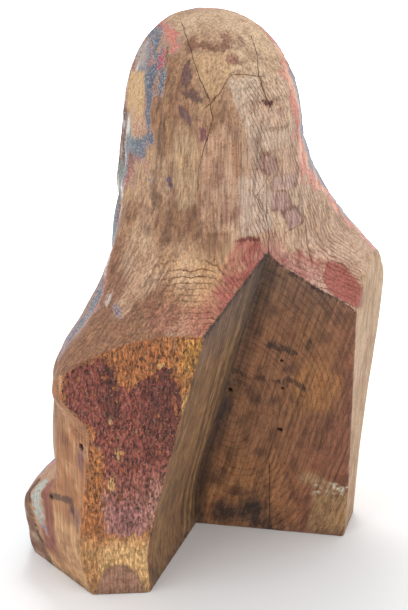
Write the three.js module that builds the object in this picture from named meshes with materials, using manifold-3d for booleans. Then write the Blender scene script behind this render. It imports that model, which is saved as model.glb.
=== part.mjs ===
import * as THREE from 'three';
import { mergeVertices } from 'three/addons/utils/BufferGeometryUtils.js';
import Module from 'manifold-3d';

// Carved wooden bust of a woman under a veil and mantle, one solid, in millimetres.
// +X is the figure's left, -Y its front, +Z up; the base rests on z = 0.

// Head and veil
const HEAD_TOP = 547;
const DOME_Z = 450;
const VEIL_HALF_WIDTH = 74;
const VEIL_BACK = 92;
const VEIL_FRONT = 85;
const FACE_HALF_WIDTH = 60;
const FACE_DEPTH = 71;
const FACE_MID_Z = 452;
const SKULL_TOP = 540;
const CHIN_Z = 350;
const EYE_Z = 447;
const EYE_X = 28;
const NOSE_TIP_Z = 411;
const NOSE_HEIGHT = 16;
const MOUTH_Z = 387;

// Body
const ROLL_Z = 38;
const ROLL_RADIUS = 58;
const ROLL_SINK = 25;
const FOLD_HEIGHT = 7;
const FOLD_COLUMNS = 4;
const HEM_WIDTH = 9;
const HEM_HEIGHT = 2.2;

// Notch cut up into the back, between two walls that meet in a corner line. The corner leans
// back over the notch above a height of NOTCH_LEAN_Z, with a soft bend there
const NOTCH_CORNER_Y = -25;
const NOTCH_LEAN = 0.40;
const NOTCH_LEAN_Z = 48;
const NOTCH_BEND = 12;
const NOTCH_LEFT_ANGLE = 37;
const NOTCH_TWIST = 8;
const NOTCH_RIGHT_ANGLE = 44;

// Sawn ends of the two legs beside the notch: a point on the floor, azimuth and lean
const LEFT_END = { x: 108.5, y: 57, azimuth: 60, lean: 8 };
const RIGHT_END = { x: -109, y: 81, azimuth: 130.5, lean: 3.4 };

// Sides, cut upright and turning outwards by `tip` between two heights under the shoulder.
// `foot` is how far the side draws in at the floor, `skew` how far its front edge stands out
const LEFT_SIDE = { x: 171, tip: 25, low: 186, high: 236, foot: 15, skew: 13 };
const RIGHT_SIDE = { x: 150, tip: 39, low: 62, high: 255, foot: 0, skew: 0 };

// Section of the veil and mantle at heights z: half width, centre, depth behind and in front
const MANTLE_WIDTH = [[0, 184], [120, 187], [200, 187], [232, 196], [255, 191], [280, 168],
  [310, 140], [340, 119], [375, 99], [410, 84], [450, VEIL_HALF_WIDTH], [500, 70]];
const MANTLE_SHIFT = [[0, 0], [250, 0], [325, -11], [370, -9], [450, -1], [500, -2], [547, -5]];
const MANTLE_CENTRE = [[0, 40], [200, 42], [260, 44], [300, 38], [340, 20], [400, 2], [450, 0]];
const MANTLE_BACK = [[0, 110], [240, 106], [265, 98], [290, 88], [315, 77], [340, 74], [370, 84],
  [410, 91], [450, VEIL_BACK]];
const MANTLE_FRONT = [[0, 148], [120, 148], [200, 130], [250, 112], [300, 97], [350, 82], [400, 82],
  [450, VEIL_FRONT]];

// Section of the neck and bodice inside the mantle
const BODY_WIDTH = [[0, 150], [240, 146], [265, 122], [285, 88], [302, 58], [322, 46], [380, 44]];
const BODY_FRONT = [[0, 108], [120, 108], [200, 93], [240, 81], [265, 74], [285, 63], [305, 57], [380, 56]];
const BODY_CENTRE = 20;

// Half angle of the mantle's opening seen from the spine, in degrees
const OPENING = [[60, -6], [98, 0], [112, 7], [138, 13], [180, 18.5], [230, 23], [280, 26], [320, 31],
  [360, 41], [400, 51], [440, 54]];
const OPENING_TOP = 532;

// Density of the surface
const FRONT_COLUMNS = 26;
const SIDE_COLUMNS = 22;
const EDGE_GAP = 0.6;
const LOW_RINGS = 26;
const FACE_RINGS = 20;
const FAN_RINGS = 24;

const deg = THREE.MathUtils.degToRad;
const { min, max, abs, sqrt, exp, cos, sin, hypot, atan2 } = Math;

function ramp(from, to, t) {
  const u = min(max((t - from) / (to - from), 0), 1);
  return u * u * (3 - 2 * u);
}

function bell(t, spread) {
  return exp(-((t / spread) ** 2));
}

function join(a, b, blend) {
  const h = max(blend - abs(a - b), 0) / blend;
  return min(a, b) - h * h * blend / 4;
}

// Smooth curve through [z, value] pairs, with no overshoot between them
function curve(pairs) {
  const last = pairs.length - 1;
  const rise = (i) => (pairs[i + 1][1] - pairs[i][1]) / (pairs[i + 1][0] - pairs[i][0]);
  const slope = pairs.map((pair, i) => {
    if (i === 0) return rise(0);
    if (i === last) return rise(last - 1);
    const below = rise(i - 1);
    const above = rise(i);
    return below * above <= 0 ? 0 : 2 * below * above / (below + above);
  });
  return (at) => {
    const z = min(max(at, pairs[0][0]), pairs[last][0]);
    let i = 0;
    while (i < last - 1 && z >= pairs[i + 1][0]) i += 1;
    const h = pairs[i + 1][0] - pairs[i][0];
    const t = (z - pairs[i][0]) / h;
    return (1 + 2 * t) * (1 - t) ** 2 * pairs[i][1] + t * (1 - t) ** 2 * h * slope[i]
      + t * t * (3 - 2 * t) * pairs[i + 1][1] + t * t * (t - 1) * h * slope[i + 1];
  };
}

const mantleWidth = curve(MANTLE_WIDTH);
const mantleShift = curve(MANTLE_SHIFT);
const mantleCentre = curve(MANTLE_CENTRE);
const mantleBack = curve(MANTLE_BACK);
const mantleFront = curve(MANTLE_FRONT);
const bodyWidth = curve(BODY_WIDTH);
const bodyFront = curve(BODY_FRONT);
const openingAngle = curve(OPENING);
const spineY = (z) => 20 * ramp(400, 300, z);

// Degrees from the front, seen from the spine: positive to the figure's left
function azimuth(x, y, z) {
  return atan2(x, spineY(z) - y) * 180 / Math.PI;
}

// Each form below gives a distance-like value, negative inside the wood

function mantleSurface(x, y, z) {
  const width = mantleWidth(z);
  const side = x - mantleShift(z);
  const along = y - mantleCentre(z);
  const back = mantleBack(z) * (1 + 0.13 * ramp(10, -110, x) * ramp(345, 290, z));
  const depth = along > 0 ? back : mantleFront(z);
  const frontPower = 2.2 - 0.4 * ramp(360, 280, z) - 0.2 * bell(z - 262, 40);
  const power = along > 0 ? 2.2 + 0.2 * ramp(330, 260, z) : frontPower;
  const q = (abs(side / width) ** power + abs(along / depth) ** power) ** (1 / power);
  const up = max(z - DOME_Z, 0) / (HEAD_TOP - DOME_Z);
  return ((q ** 2.15 + up ** 2.15) ** (1 / 2.15) - 1) * min(width, depth) * 0.9;
}

// Distance from the mantle's front edges: positive in the opening
function openingDepth(x, y, z) {
  const angle = abs(azimuth(x, y, z));
  if (z > 440) {
    return 60 * (1 - hypot(angle / openingAngle(440), (z - 440) / (OPENING_TOP - 440)));
  }
  return deg(openingAngle(z) - angle) * hypot(x, y - spineY(z));
}

// Columns are counted outwards from the mantle's front edge, and crowd towards it
const columnAngle = (edge, t) => edge + (180 - edge) * (0.66 * t + 0.34 * t ** 3);

function columnCount(angle, edge) {
  const share = (angle - edge) / (180 - edge);
  let t = share;
  for (let i = 0; i < 5; i += 1) t -= (0.66 * t + 0.34 * t ** 3 - share) / (0.66 + 1.02 * t * t);
  return t * SIDE_COLUMNS;
}

// Long folds beside the front edge, falling from the head and shoulders to the roll
function folds(x, y, z) {
  const angle = abs(azimuth(x, y, z));
  const edge = z > 440 ? openingAngle(440) : max(openingAngle(z), 7);
  if (angle <= edge) return 0;
  const count = columnCount(angle, edge) / FOLD_COLUMNS;
  const crest = (0.5 - 0.5 * cos(2 * Math.PI * count)) ** 1.3 - 0.4;
  const place = ramp(0.1, 0.5, count) * ramp(3.2, 2.6, count) * ramp(72, 105, z);
  return FOLD_HEIGHT * crest * place * (0.35 + 0.65 * ramp(350, 280, z)) * ramp(500, 420, z);
}

function mantle(x, y, z) {
  const surface = mantleSurface(x, y, z);
  const angle = abs(azimuth(x, y, z));
  const twist = 3.2 * cos(deg(angle * 12 + z * 4)) * ramp(100, 80, angle);
  const roll = hypot(surface + ROLL_SINK, (z - ROLL_Z) * 0.8) - ROLL_RADIUS - twist;
  const atFront = ramp(38, 10, y);
  const cloth = surface - folds(x, y, z);
  return join(cloth, roll + 40 * (1 - atFront), 10);
}

const noseLine = curve([[396, 0], [403, 8], [NOSE_TIP_Z, NOSE_HEIGHT], [430, 10.5], [455, 5],
  [470, 2], [484, 0]]);

function faceRelief(x, z) {
  const ax = abs(x);
  const eye = hypot((ax - EYE_X) / 14.5, (z - EYE_Z) / 8.5);
  const noseWidth = 5.5 + 3 * ramp(438, 412, z);
  let h = 3 * bell(z - 466 + 0.004 * (ax - 22) ** 2, 7) * bell(ax - 26, 20);
  h -= 8 * bell(ax - EYE_X, 16) * bell(z - EYE_Z - 1, 11);
  h += 6.5 * sqrt(max(0, 1 - eye * eye));
  h += noseLine(z) * bell(x, noseWidth);
  h += 5 * bell(ax - 10, 4.5) * bell(z - 409, 5.5);
  h += 3.5 * bell(ax - 36, 17) * bell(z - 421, 20);
  h += 4.5 * bell(x, 22) * bell(z - MOUTH_Z, 14);
  h += 3 * bell(x, 14) * bell(z - MOUTH_Z - 4.5, 3.6);
  h += 3.4 * bell(x, 12) * bell(z - MOUTH_Z + 5.5, 4.2);
  h -= 2.5 * bell(x, 18) * bell(z - MOUTH_Z, 2.2);
  h -= 2.4 * bell(x, 13) * bell(z - 373, 4.5);
  h += 11 * bell(x, 18) * bell(z - 361, 11);
  return h;
}

function hairRelief(x, z) {
  const oval = z > 441 ? hypot(x / 50, (z - 441) / 68) : abs(x) / 50;
  const turn = atan2(x, max(z - 441, 1));
  const lock = 1.2 * cos(2 * Math.PI * (oval - 1) * 9 + 2 * sin(turn * 6));
  const parting = z > 441 ? 3 * bell(x, 4) : 0;
  return ramp(0.96, 1.06, oval) * ramp(368, 396, z) * (6 + lock - parting);
}

function head(x, y, z) {
  const v = z > FACE_MID_Z ? (z - FACE_MID_Z) / (SKULL_TOP - FACE_MID_Z)
    : (FACE_MID_Z - z) / (FACE_MID_Z - CHIN_Z);
  const lift = z > FACE_MID_Z ? v ** 2.2 : v ** 6;
  const width = FACE_HALF_WIDTH * (1 - (z > FACE_MID_Z ? 0 : 0.28 * v * v));
  const q = sqrt((x / width) ** 2 + (y / FACE_DEPTH) ** 2 + lift);
  const front = ramp(-10, -34, y);
  return (q - 1) * 58 - front * (faceRelief(x, z) + hairRelief(x, z));
}

// Neck and bodice, with a bordered neckline
function body(x, y, z) {
  const neckline = 262 + 0.005 * x * x;
  const dress = 2.6 * ramp(neckline + 2, neckline - 2, z) + 1.6 * bell(z - neckline + 6, 5);
  const pleats = 1.6 * cos(x * 0.42) * ramp(neckline - 14, neckline - 40, z);
  const tendon = 2 * bell(abs(x) - 8 - 0.4 * max(z - 290, 0), 6) * ramp(285, 300, z);
  const q = hypot(x / bodyWidth(z), (y - BODY_CENTRE) / bodyFront(z));
  return max((q - 1) * min(bodyWidth(z), bodyFront(z)) - dress - pleats - tendon, z - 400);
}

function wood(x, y, z) {
  const inner = join(head(x, y, z), body(x, y, z), 9);
  const opening = openingDepth(x, y, z);
  const hem = HEM_HEIGHT * ramp(-HEM_WIDTH - 3, -HEM_WIDTH, opening) * ramp(546, 536, z);
  return min(inner, max(mantle(x, y, z) - hem, opening));
}

// The surface is met by rays from the spine: level rings low down, rings tilted under the chin,
// and a fan of rings over the top of the head
function ringList() {
  const rings = [];
  for (let i = 0; i <= LOW_RINGS; i += 1) {
    rings.push({ z: 318 * i / LOW_RINGS, tilt: 0 });
  }
  for (let i = 1; i <= FACE_RINGS; i += 1) {
    const t = i / FACE_RINGS;
    rings.push({ z: 318 + 122 * t, tilt: deg(-18 * ramp(0, 0.55, t)) });
  }
  for (let i = 1; i < FAN_RINGS; i += 1) {
    const t = i / FAN_RINGS;
    rings.push({ z: 440, tilt: deg(-18 + 108 * (0.86 * t + 0.14 * t * t)) });
  }
  return rings;
}

function along(ring, angle, r) {
  const a = deg(angle);
  const out = r * cos(ring.tilt);
  return [out * sin(a), spineY(ring.z) - out * cos(a), ring.z + r * sin(ring.tilt)];
}

// Distance along a ray from the spine to the surface of a form
function reach(form, ring, angle) {
  let high = 330;
  let low = 326;
  while (low > 20 && form(...along(ring, angle, low)) > 0) {
    high = low;
    low -= 4;
  }
  for (let i = 0; i < 16; i += 1) {
    const middle = (low + high) / 2;
    if (form(...along(ring, angle, middle)) < 0) low = middle;
    else high = middle;
  }
  return along(ring, angle, low);
}

// Angle at which a ring crosses the mantle's front edge, on the figure's left or right
function edgeAngle(ring, side) {
  let low = 0;
  let high = 75;
  for (let i = 0; i < 14; i += 1) {
    const middle = (low + high) / 2;
    if (openingDepth(...reach(mantle, ring, side * middle)) > 0) low = middle;
    else high = middle;
  }
  return max(low, 7);
}

// Columns crowd into the opening and keep one on each side of the mantle's two front edges
function columnAngles(ring) {
  const left = edgeAngle(ring, 1);
  const right = edgeAngle(ring, -1);
  const angles = [];
  for (let i = 0; i <= FRONT_COLUMNS; i += 1) {
    const t = i / FRONT_COLUMNS;
    angles.push((left - EDGE_GAP) * t - (right - EDGE_GAP) * (1 - t));
  }
  for (let i = 0; i <= SIDE_COLUMNS; i += 1) {
    angles.push(columnAngle(left + EDGE_GAP, i / SIDE_COLUMNS));
  }
  for (let i = SIDE_COLUMNS - 1; i >= 0; i -= 1) {
    angles.push(360 - columnAngle(right + EDGE_GAP, i / SIDE_COLUMNS));
  }
  return angles;
}

function carvedBlock() {
  const points = [];
  const faces = [];
  const rings = ringList();
  const size = columnAngles(rings[0]).length;
  rings.forEach((ring) => {
    columnAngles(ring).forEach((angle) => points.push(reach(wood, ring, angle)));
  });
  for (let i = 0; i + 1 < rings.length; i += 1) {
    for (let j = 0; j < size; j += 1) {
      const a = i * size + j;
      const b = i * size + (j + 1) % size;
      const c = b + size;
      const d = a + size;
      const across = (p, q) => hypot(...points[p].map((v, k) => v - points[q][k]));
      if (across(a, c) < across(b, d)) faces.push([a, b, c], [a, c, d]);
      else faces.push([a, b, d], [b, c, d]);
    }
  }
  const foot = points.push([0, 20, 0]) - 1;
  const crown = points.push(reach(wood, { z: 440, tilt: deg(90) }, 0)) - 1;
  const top = (rings.length - 1) * size;
  for (let j = 0; j < size; j += 1) {
    const next = (j + 1) % size;
    faces.push([foot, next, j], [crown, top + j, top + next]);
  }
  return solid(points, faces);
}

const wasm = await Module();
wasm.setup();

function solid(points, faces) {
  const mesh = new wasm.Mesh({
    numProp: 3,
    vertProperties: new Float32Array(points.flat()),
    triVerts: new Uint32Array(faces.flat()),
  });
  mesh.merge();
  return new wasm.Manifold(mesh);
}

// Closed skin through outlines of equal length, first at the bottom
function skin(outlines) {
  const size = outlines[0].length;
  const points = outlines.flat();
  const faces = [];
  for (let i = 0; i + 1 < outlines.length; i += 1) {
    for (let j = 0; j < size; j += 1) {
      const a = i * size + j;
      const b = i * size + (j + 1) % size;
      faces.push([a, b, b + size], [a, b + size, a + size]);
    }
  }
  const top = (outlines.length - 1) * size;
  for (let j = 1; j + 1 < size; j += 1) {
    faces.push([0, j + 1, j], [top, top + j, top + j + 1]);
  }
  return solid(points, faces);
}

// Flat cut through a floor point, leaning outwards as it rises
function endCut(end) {
  const a = deg(end.azimuth);
  const normal = [cos(a), sin(a)];
  const along = [-sin(a), cos(a)];
  const outline = (z) => {
    const out = z * Math.tan(deg(end.lean));
    const corner = (u, v) => [
      end.x + normal[0] * (out + u) + along[0] * v,
      end.y + normal[1] * (out + u) + along[1] * v,
      z,
    ];
    return [corner(0, -160), corner(200, -160), corner(200, 160), corner(0, 160)];
  };
  return skin([outline(-10), outline(HEAD_TOP * 0.8)]);
}

// Cut along one side; sign 1 is the figure's left
function sideCut(sign, side) {
  const outline = (z) => {
    const out = side.x + side.tip * ramp(side.low, side.high, z) - side.foot * ramp(62, -20, z);
    const near = out - side.skew * 0.7;
    const corners = [[near, 120], [out + side.skew, -150], [out + 120, -150], [out + 120, 120]];
    const placed = corners.map(([x, y]) => [sign * x, y, z]);
    return sign > 0 ? placed : placed.reverse();
  };
  const turn = [0, 0.3, 0.55, 0.8, 1].map((t) => side.low + (side.high - side.low) * t);
  return skin([-10, 0, 20, 40, 60, ...turn, side.high + 60].map(outline));
}

function notchCut() {
  const outline = (z) => {
    const above = NOTCH_BEND * Math.log(1 + exp((z - NOTCH_LEAN_Z) / NOTCH_BEND));
    const cornerY = NOTCH_CORNER_Y + NOTCH_LEAN * above;
    const left = deg(NOTCH_LEFT_ANGLE - NOTCH_TWIST * (max(z, 0) / 255) ** 1.3);
    const right = deg(NOTCH_RIGHT_ANGLE);
    return [
      [0, cornerY, z],
      [260, cornerY + 260 * Math.tan(left), z],
      [0, cornerY + 400, z],
      [-260, cornerY + 260 * Math.tan(right), z],
    ];
  };
  return skin([-10, 0, 30, 42, 54, 70, 110, 190, 255, 330, 400].map(outline));
}

const bust = carvedBlock()
  .subtract(endCut(LEFT_END))
  .subtract(endCut(RIGHT_END))
  .subtract(sideCut(1, LEFT_SIDE))
  .subtract(sideCut(-1, RIGHT_SIDE))
  .subtract(notchCut());

const made = bust.getMesh();
const count = made.vertProperties.length / made.numProp;
const positions = new Float32Array(count * 3);
for (let i = 0; i < count; i += 1) {
  for (let k = 0; k < 3; k += 1) positions[i * 3 + k] = made.vertProperties[i * made.numProp + k];
}
const cut = new THREE.BufferGeometry();
cut.setAttribute('position', new THREE.BufferAttribute(positions, 3));
cut.setIndex(new THREE.BufferAttribute(new Uint32Array(made.triVerts), 1));
const geometry = mergeVertices(cut, 1e-4);

// The origin is the middle of the box round the bust, on its base
geometry.computeBoundingBox();
const { min: low, max: high } = geometry.boundingBox;
geometry.translate(-(low.x + high.x) / 2, -(low.y + high.y) / 2, 0);

const wornWood = new THREE.MeshStandardMaterial({ color: '#b08a60', roughness: 0.75, metalness: 0 });
const mesh = new THREE.Mesh(geometry, wornWood);
mesh.name = 'bust';

const group = new THREE.Group();
group.name = 'female_bust';
group.add(mesh);

export default group;
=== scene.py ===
import math
from itertools import product

import bpy
import numpy as np
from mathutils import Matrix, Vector


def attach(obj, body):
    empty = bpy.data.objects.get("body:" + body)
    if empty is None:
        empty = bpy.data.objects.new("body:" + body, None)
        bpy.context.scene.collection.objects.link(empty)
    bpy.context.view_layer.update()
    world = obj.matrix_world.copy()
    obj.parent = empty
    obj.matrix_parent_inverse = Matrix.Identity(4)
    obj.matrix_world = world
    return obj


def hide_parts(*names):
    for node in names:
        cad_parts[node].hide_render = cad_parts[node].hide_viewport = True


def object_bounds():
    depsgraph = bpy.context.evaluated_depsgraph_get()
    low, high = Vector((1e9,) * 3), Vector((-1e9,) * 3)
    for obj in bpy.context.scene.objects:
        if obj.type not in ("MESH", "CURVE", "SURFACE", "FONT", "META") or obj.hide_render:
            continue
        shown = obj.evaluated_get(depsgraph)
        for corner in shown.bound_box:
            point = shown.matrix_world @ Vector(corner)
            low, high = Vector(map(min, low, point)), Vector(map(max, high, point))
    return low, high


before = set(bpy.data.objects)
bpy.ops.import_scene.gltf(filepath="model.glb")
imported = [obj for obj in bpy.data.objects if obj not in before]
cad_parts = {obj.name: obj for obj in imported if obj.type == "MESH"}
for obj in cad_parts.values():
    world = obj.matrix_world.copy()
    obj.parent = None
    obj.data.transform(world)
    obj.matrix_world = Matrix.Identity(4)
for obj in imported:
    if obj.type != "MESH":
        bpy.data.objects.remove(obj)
cad_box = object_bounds()

# The block
# One length of an old pine trunk, carved in the round and sawn flat where other blocks were
# glued on. Each form below is a value that is negative inside the wood, in the drawing's
# millimetres: +X the figure's left, -Y its front, and the floor at z = 0.
BOX_MIDDLE = (2.6703, -3.4343)
HEAD_TOP, DOME_Z, SKULL_TOP, CHIN_Z, FACE_MID_Z = 547, 450, 540, 350, 452
EYE_Z, EYE_X, MOUTH_Z, DOME_POWER = 447, 28, 387, 2.15
ROLL_Z, ROLL_RADIUS, ROLL_SINK = 38, 58, 25


def ramp(low, high, t):
    u = np.clip((t - low) / (high - low), 0, 1)
    return u * u * (3 - 2 * u)


def bell(t, spread):
    return np.exp(-((t / spread) ** 2))


def join(a, b, blend):
    h = np.maximum(blend - np.abs(a - b), 0) / blend
    return np.minimum(a, b) - h * h * blend / 4


def meet(a, b, blend):
    return -join(-a, -b, blend)


def curve(*pairs):
    # A smooth line through (height, value) pairs, read from a table with a step of 1 mm
    at, value = np.array(pairs, float).T
    rise = np.diff(value) / np.diff(at)
    slope = np.concatenate([rise[:1], np.zeros(len(at) - 2), rise[-1:]])
    for i in range(1, len(at) - 1):
        if rise[i - 1] * rise[i] > 0:
            slope[i] = 2 * rise[i - 1] * rise[i] / (rise[i - 1] + rise[i])
    z = np.arange(at[0], at[-1] + 0.5)
    i = np.clip(np.searchsorted(at, z, side="right") - 1, 0, len(at) - 2)
    h = at[i + 1] - at[i]
    t = (z - at[i]) / h
    line = (
        (1 + 2 * t) * (1 - t) ** 2 * value[i]
        + t * (1 - t) ** 2 * h * slope[i]
        + t * t * (3 - 2 * t) * value[i + 1]
        + t * t * (t - 1) * h * slope[i + 1]
    )
    return lambda height: np.interp(height, z, line)


mantle_width = curve(
    (0, 184), (120, 187), (200, 187), (232, 196), (255, 191), (280, 168), (310, 140),
    (340, 119), (375, 99), (410, 84), (450, 74), (500, 70),
)
mantle_shift = curve((0, 0), (250, 0), (325, -11), (370, -9), (450, -1), (500, -2), (547, -5))
mantle_centre = curve((0, 40), (200, 42), (260, 44), (300, 38), (340, 20), (400, 2), (450, 0))
mantle_back = curve(
    (0, 110), (240, 106), (265, 98), (290, 88), (315, 77), (340, 74), (370, 84), (410, 91), (450, 92)
)
mantle_front = curve(
    (0, 148), (120, 148), (200, 130), (250, 112), (300, 97), (350, 82), (400, 82), (450, 85)
)
body_width = curve(
    (0, 150), (240, 146), (265, 122), (285, 88), (302, 58), (322, 46), (380, 44)
)
body_front = curve(
    (0, 108), (120, 108), (200, 93), (240, 81), (265, 74), (285, 63), (305, 57), (380, 56)
)
opening_angle = curve(
    (60, -6), (98, 0), (112, 7), (138, 13), (180, 18.5), (230, 23), (280, 26), (320, 31),
    (360, 41), (400, 51), (440, 54),
)
OPENING_TOP = 532


def azimuth(x, y, z):
    # Degrees from the front, seen from the spine: positive to the figure's left
    return np.degrees(np.arctan2(x, 20 * ramp(400, 300, z) - y))


def mantle_surface(x, y, z):
    width = mantle_width(z)
    side = x - mantle_shift(z)
    deep = y - mantle_centre(z)
    back = mantle_back(z) * (1 + 0.13 * ramp(10, -110, x) * ramp(345, 290, z))
    depth = np.where(deep > 0, back, mantle_front(z))
    power = np.where(
        deep > 0,
        2.2 + 0.2 * ramp(330, 260, z),
        2.2 - 0.4 * ramp(360, 280, z) - 0.2 * bell(z - 262, 40),
    )
    q = (np.abs(side / width) ** power + np.abs(deep / depth) ** power) ** (1 / power)
    up = np.maximum(z - DOME_Z, 0) / (HEAD_TOP - DOME_Z)
    dome = (q**DOME_POWER + up**DOME_POWER) ** (1 / DOME_POWER)
    return (dome - 1) * np.minimum(width, depth) * 0.9


def opening_depth(x, y, z):
    # Distance from the mantle's front edges: positive in the opening
    angle = np.abs(azimuth(x, y, z))
    reach = np.hypot(angle / opening_angle(440), (z - 440) / (OPENING_TOP - 440))
    low = np.radians(opening_angle(z) - angle) * np.hypot(x, y - 20 * ramp(400, 300, z))
    return np.where(z > 440, 60 * (1 - reach), low)


def fold_count(x, y, z):
    # How many folds lie between the mantle's front edge and a point
    angle = np.abs(azimuth(x, y, z))
    edge = np.where(z > 440, opening_angle(440), np.maximum(opening_angle(z), 7))
    share = np.maximum(angle - edge, 0) / (180 - edge)
    t = share
    for _ in range(4):
        t = t - (0.66 * t + 0.34 * t**3 - share) / (0.66 + 1.02 * t * t)
    return t * 5.5


def folds(x, y, z):
    count = fold_count(x, y, z)
    crest = (0.5 - 0.5 * np.cos(2 * np.pi * count)) ** 1.3 - 0.4
    place = ramp(0.1, 0.5, count) * ramp(3.2, 2.6, count) * ramp(72, 105, z)
    return 7 * crest * place * (0.35 + 0.65 * ramp(350, 280, z)) * ramp(500, 420, z)


def mantle(x, y, z):
    surface = mantle_surface(x, y, z)
    angle = np.abs(azimuth(x, y, z))
    twist = 3.2 * np.cos(np.radians(angle * 12 + z * 4)) * ramp(100, 80, angle)
    roll = np.hypot(surface + ROLL_SINK, (z - ROLL_Z) * 0.8) - ROLL_RADIUS - twist
    return join(surface - folds(x, y, z), roll + 40 * (1 - ramp(38, 10, y)), 10)


nose_line = curve((396, 0), (403, 8), (411, 16), (430, 10.5), (455, 5), (470, 2), (484, 0))


def face_relief(x, z):
    ax = np.abs(x)
    eye = np.hypot((ax - EYE_X) / 14.5, (z - EYE_Z) / 8.5)
    h = 3 * bell(z - 466 + 0.004 * (ax - 22) ** 2, 7) * bell(ax - 26, 20)
    h = h - 8 * bell(ax - EYE_X, 16) * bell(z - EYE_Z - 1, 11)
    h = h + 6.5 * np.sqrt(np.maximum(0, 1 - eye * eye))
    h = h + nose_line(z) * bell(x, 5.5 + 3 * ramp(438, 412, z))
    h = h + 5 * bell(ax - 10, 4.5) * bell(z - 409, 5.5)
    h = h + 3.5 * bell(ax - 36, 17) * bell(z - 421, 20)
    h = h + 4.5 * bell(x, 22) * bell(z - MOUTH_Z, 14)
    h = h + 3 * bell(x, 14) * bell(z - MOUTH_Z - 4.5, 3.6)
    h = h + 3.4 * bell(x, 12) * bell(z - MOUTH_Z + 5.5, 4.2)
    h = h - 2.5 * bell(x, 18) * bell(z - MOUTH_Z, 2.2)
    h = h - 2.4 * bell(x, 13) * bell(z - 373, 4.5)
    return h + 11 * bell(x, 18) * bell(z - 361, 11)


def hair_place(x, z):
    oval = np.where(z > 441, np.hypot(x / 50, (z - 441) / 68), np.abs(x) / 50)
    return oval, np.arctan2(x, np.maximum(z - 441, 1))


def hair_relief(x, z):
    oval, turn = hair_place(x, z)
    lock = 0.9 * ramp(1.3, 1.1, oval) * np.cos(2 * np.pi * (oval - 1) * 9 + 2 * np.sin(turn * 6))
    parting = np.where(z > 441, 3 * bell(x, 4), 0)
    return ramp(0.96, 1.06, oval) * ramp(368, 396, z) * (6 + lock - parting)


def head(x, y, z):
    upper = z > FACE_MID_Z
    v = np.where(
        upper, (z - FACE_MID_Z) / (SKULL_TOP - FACE_MID_Z), (FACE_MID_Z - z) / (FACE_MID_Z - CHIN_Z)
    )
    v = np.abs(v)
    width = 60 * (1 - np.where(upper, 0, 0.28 * v * v))
    q = np.sqrt((x / width) ** 2 + (y / 71) ** 2 + np.where(upper, v**2.2, v**6))
    return (q - 1) * 58 - ramp(-10, -34, y) * (face_relief(x, z) + hair_relief(x, z))


def neckline_height(x):
    return 262 + 0.005 * x * x


def body(x, y, z):
    # Neck and bodice, with a bordered neckline and pleats below it
    neckline = neckline_height(x)
    dress = 2.6 * ramp(neckline + 2, neckline - 2, z) + 1.6 * bell(z - neckline + 6, 5)
    pleats = 1.6 * np.cos(x * 0.42) * ramp(neckline - 14, neckline - 40, z)
    tendon = 2 * bell(np.abs(x) - 8 - 0.4 * np.maximum(z - 290, 0), 6) * ramp(285, 300, z)
    width, front = body_width(z), body_front(z)
    q = np.hypot(x / width, (y - 20) / front)
    return np.maximum((q - 1) * np.minimum(width, front) - dress - pleats - tendon, z - 400)


def carving(x, y, z):
    inner = join(head(x, y, z), body(x, y, z), 9)
    opening = opening_depth(x, y, z)
    hem = 2.2 * ramp(-12, -9, opening) * ramp(546, 536, z)
    return join(inner, meet(mantle(x, y, z) - hem, opening, 3), 5)


def leaning_cut(x, y, z, foot_x, foot_y, turn, lean):
    a, slope = math.radians(turn), math.tan(math.radians(lean))
    out = (x - foot_x) * math.cos(a) + (y - foot_y) * math.sin(a)
    return (out - z * slope) * math.cos(math.radians(lean))


def left_end(x, y, z):
    return leaning_cut(x, y, z, 108.5, 57, 60, 8)


def right_end(x, y, z):
    return leaning_cut(x, y, z, -109, 81, 130.5, 3.4)


def left_side(x, y, z):
    out = 171 + 25 * ramp(186, 236, z) - 15 * ramp(62, -20, z)
    return x - out + 13 * (0.7 - (120 - y) / 270 * 1.7)


def right_side(x, y, z):
    return -x - 150 - 39 * ramp(62, 255, z)


def notch_walls(x, y, z):
    # Distances into the notch from its left wall and from its right wall
    corner = -25 + 0.40 * 12 * np.logaddexp(0, (z - 48) / 12)
    left = np.radians(37 - 8 * (np.maximum(z, 0) / 255) ** 1.3)
    right = math.radians(44)
    return (
        ((y - corner) * np.cos(left) - x * np.sin(left)) * 0.96,
        ((y - corner) * math.cos(right) + x * math.sin(right)) * 0.96,
    )


def bust_form(x, y, z):
    form = carving(x, y, z)
    for cut in (left_end, right_end, left_side, right_side):
        form = meet(form, cut(x, y, z), 3)
    left, right = notch_walls(x, y, z)
    form = meet(form, join(left, right, 1.5), 2.5)
    return np.maximum(form, -z)


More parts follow.
